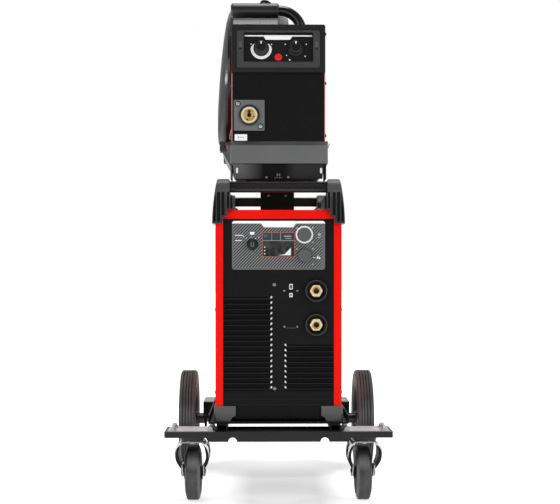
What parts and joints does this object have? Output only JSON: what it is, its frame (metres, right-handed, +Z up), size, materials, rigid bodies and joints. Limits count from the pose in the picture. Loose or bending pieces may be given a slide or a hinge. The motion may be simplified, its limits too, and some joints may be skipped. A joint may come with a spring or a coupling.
{
  "type": "mig welder on cart",
  "caption": "Inverter MIG welding power source standing on a wheeled cart with a gas cylinder shelf, and a separate wire feeder that swivels on top.",
  "frame": {"origin": "on the floor, under the middle of the whole machine's box", "axes": "+Z up, -Y the front with the sockets and control panels, +X to the right seen from the front"},
  "size_m": [0.512, 0.86, 1.1963],
  "materials": {
    "red_paint": "semi-gloss powder coat",
    "black_paint": "fine textured powder coat",
    "cart_paint": "satin powder coat",
    "dark_plastic": "fine moulded grain",
    "grey_plastic": "fine moulded grain",
    "black_plastic": "satin moulding",
    "zinc": "bright zinc plating",
    "steel": "ground steel",
    "brass": "turned",
    "copper_wire": "copper-coated welding wire",
    "tyre_rubber": "solid grey-black rubber",
    "grip_foam": "soft grip",
    "rim_plastic": "moulded wheel centre",
    "screen": "clear-coated display window",
    "red_plastic": "glossy button",
    "drive_alloy": "cast and machined",
    "transformer_iron": "varnished laminations"
  },
  "bodies": {
    "machine": {"front_crossmember": "cart_paint", "chassis_rails": "cart_paint", "machine_tray": "cart_paint", "rear_axle_beam": "cart_paint", "rear_axle": "zinc", "cylinder_supports": "cart_paint", "caster_plates": "zinc", "cart_bolts": "zinc", "source_base": "black_paint", "source_feet": "dark_plastic", "source_cover": "red_paint", "front_panel": "black_paint", "rear_panel": "black_paint", "handle_ends": "dark_plastic", "handle_bars": "black_plastic", "control_plate": "grey_plastic", "display_unit": "screen", "socket_shells": "black_plastic", "socket_contacts": "brass", "main_transformer": "transformer_iron", "feeder_pedestal": "black_paint"},
    "caster_left": {"caster_fork_left": "zinc"},
    "caster_right": {"caster_fork_right": "zinc"},
    "caster_wheel_left": {"caster_hub_left": "rim_plastic", "caster_tyre_left": "tyre_rubber"},
    "caster_wheel_right": {"caster_hub_right": "rim_plastic", "caster_tyre_right": "tyre_rubber"},
    "rear_wheel_left": {"rear_rim_left": "rim_plastic", "rear_tyre_left": "tyre_rubber"},
    "rear_wheel_right": {"rear_rim_right": "rim_plastic", "rear_tyre_right": "tyre_rubber"},
    "selector": {"selector_knob": "black_plastic"},
    "upper_encoder": {"encoder_upper": "dark_plastic"},
    "lower_encoder": {"encoder_lower": "dark_plastic"},
    "fan": {"fan_rotor": "black_plastic"},
    "mains_switch": {"main_switch": "black_plastic"},
    "feeder": {"turntable_frame": "cart_paint", "feeder_base": "grey_plastic", "feeder_chassis": "black_paint", "feeder_side_panel": "red_paint", "feeder_front_panel": "black_paint", "feeder_fascia": "dark_plastic", "euro_plate": "grey_plastic", "euro_socket": "brass", "spool_hood": "black_plastic", "spool_hub": "black_plastic", "wire_drive": "drive_alloy", "carry_handle": "black_paint", "handle_grip": "grip_foam"},
    "door": {"feeder_door": "red_paint", "spool_cover": "black_plastic"},
    "spool": {"wire_spool": "black_plastic", "wire_winding": "copper_wire"},
    "lower_roll": {"feed_roll_lower": "steel"},
    "upper_roll": {"feed_roll_upper": "steel"},
    "arm": {"pressure_arm": "drive_alloy"},
    "tension": {"tension_knob": "black_plastic"},
    "feeder_left_knob": {"feeder_knob_left": "black_plastic"},
    "feeder_right_knob": {"feeder_knob_right": "black_plastic"},
    "wire_test": {"test_button": "red_plastic"}
  },
  "joints": [
    {"name": "caster_swivel_left", "type": "hinge", "parent": "machine", "child": "caster_left", "pos_m": [-0.195, -0.378, 0.15], "axis": [0, 0, 1], "continuous": true},
    {"name": "caster_swivel_right", "type": "hinge", "parent": "machine", "child": "caster_right", "pos_m": [0.195, -0.378, 0.15], "axis": [0, 0, 1], "continuous": true},
    {"name": "caster_roll_left", "type": "hinge", "parent": "caster_left", "child": "caster_wheel_left", "pos_m": [-0.195, -0.34, 0.0625], "axis": [1, 0, 0], "continuous": true},
    {"name": "caster_roll_right", "type": "hinge", "parent": "caster_right", "child": "caster_wheel_right", "pos_m": [0.195, -0.34, 0.0625], "axis": [1, 0, 0], "continuous": true},
    {"name": "rear_roll_left", "type": "hinge", "parent": "machine", "child": "rear_wheel_left", "pos_m": [-0.234, 0.15, 0.13], "axis": [1, 0, 0], "continuous": true},
    {"name": "rear_roll_right", "type": "hinge", "parent": "machine", "child": "rear_wheel_right", "pos_m": [0.234, 0.15, 0.13], "axis": [1, 0, 0], "continuous": true},
    {"name": "selector_turn", "type": "hinge", "parent": "machine", "child": "selector", "pos_m": [-0.059, -0.3865, 0.5855], "axis": [0, 1, 0], "range_deg": [-60, 60]},
    {"name": "upper_encoder_turn", "type": "hinge", "parent": "machine", "child": "upper_encoder", "pos_m": [0.0586, -0.3865, 0.608], "axis": [0, 1, 0], "continuous": true},
    {"name": "lower_encoder_turn", "type": "hinge", "parent": "machine", "child": "lower_encoder", "pos_m": [0.0586, -0.3865, 0.561], "axis": [0, 1, 0], "continuous": true},
    {"name": "fan_spin", "type": "hinge", "parent": "machine", "child": "fan", "pos_m": [0, 0.205, 0.4], "axis": [0, 1, 0], "continuous": true},
    {"name": "mains_switch_turn", "type": "hinge", "parent": "machine", "child": "mains_switch", "pos_m": [0.072, 0.217, 0.6], "axis": [0, 1, 0], "range_deg": [0, 90]},
    {"name": "feeder_swivel", "type": "hinge", "parent": "machine", "child": "feeder", "pos_m": [0, -0.085, 0.75], "axis": [0, 0, 1], "range_deg": [-90, 90]},
    {"name": "door_hinge", "type": "hinge", "parent": "feeder", "child": "door", "pos_m": [-0.134, -0.06, 0.832], "axis": [0, -1, 0], "range_deg": [0, 95]},
    {"name": "spool_spin", "type": "hinge", "parent": "feeder", "child": "spool", "pos_m": [-0.0445, -0.06, 1.019], "axis": [1, 0, 0], "continuous": true},
    {"name": "drive_roll_spin", "type": "hinge", "parent": "feeder", "child": "lower_roll", "pos_m": [-0.0666, -0.275, 0.862], "axis": [1, 0, 0], "continuous": true},
    {"name": "pressure_arm_lift", "type": "hinge", "parent": "feeder", "child": "arm", "pos_m": [-0.053, -0.318, 0.902], "axis": [1, 0, 0], "range_deg": [0, 50]},
    {"name": "pressure_roll_spin", "type": "hinge", "parent": "arm", "child": "upper_roll", "pos_m": [-0.0666, -0.275, 0.9], "axis": [1, 0, 0], "continuous": true},
    {"name": "tension_turn", "type": "hinge", "parent": "arm", "child": "tension", "pos_m": [-0.0666, -0.232, 0.95], "axis": [0, 0, 1], "continuous": true},
    {"name": "feeder_knob_left_turn", "type": "hinge", "parent": "feeder", "child": "feeder_left_knob", "pos_m": [-0.0395, -0.365, 1.0345], "axis": [0, 1, 0], "range_deg": [-140, 140]},
    {"name": "feeder_knob_right_turn", "type": "hinge", "parent": "feeder", "child": "feeder_right_knob", "pos_m": [0.0395, -0.365, 1.0345], "axis": [0, 1, 0], "range_deg": [-140, 140]},
    {"name": "wire_test_press", "type": "slide", "parent": "feeder", "child": "wire_test", "axis": [0, 1, 0], "range_m": [0, 0.003], "stiffness_N_per_m": 300, "springref_m": -0.002}
  ],
  "couplings": [
    {"joint": "pressure_roll_spin", "follows": "drive_roll_spin", "ratio": -1}
  ]
}
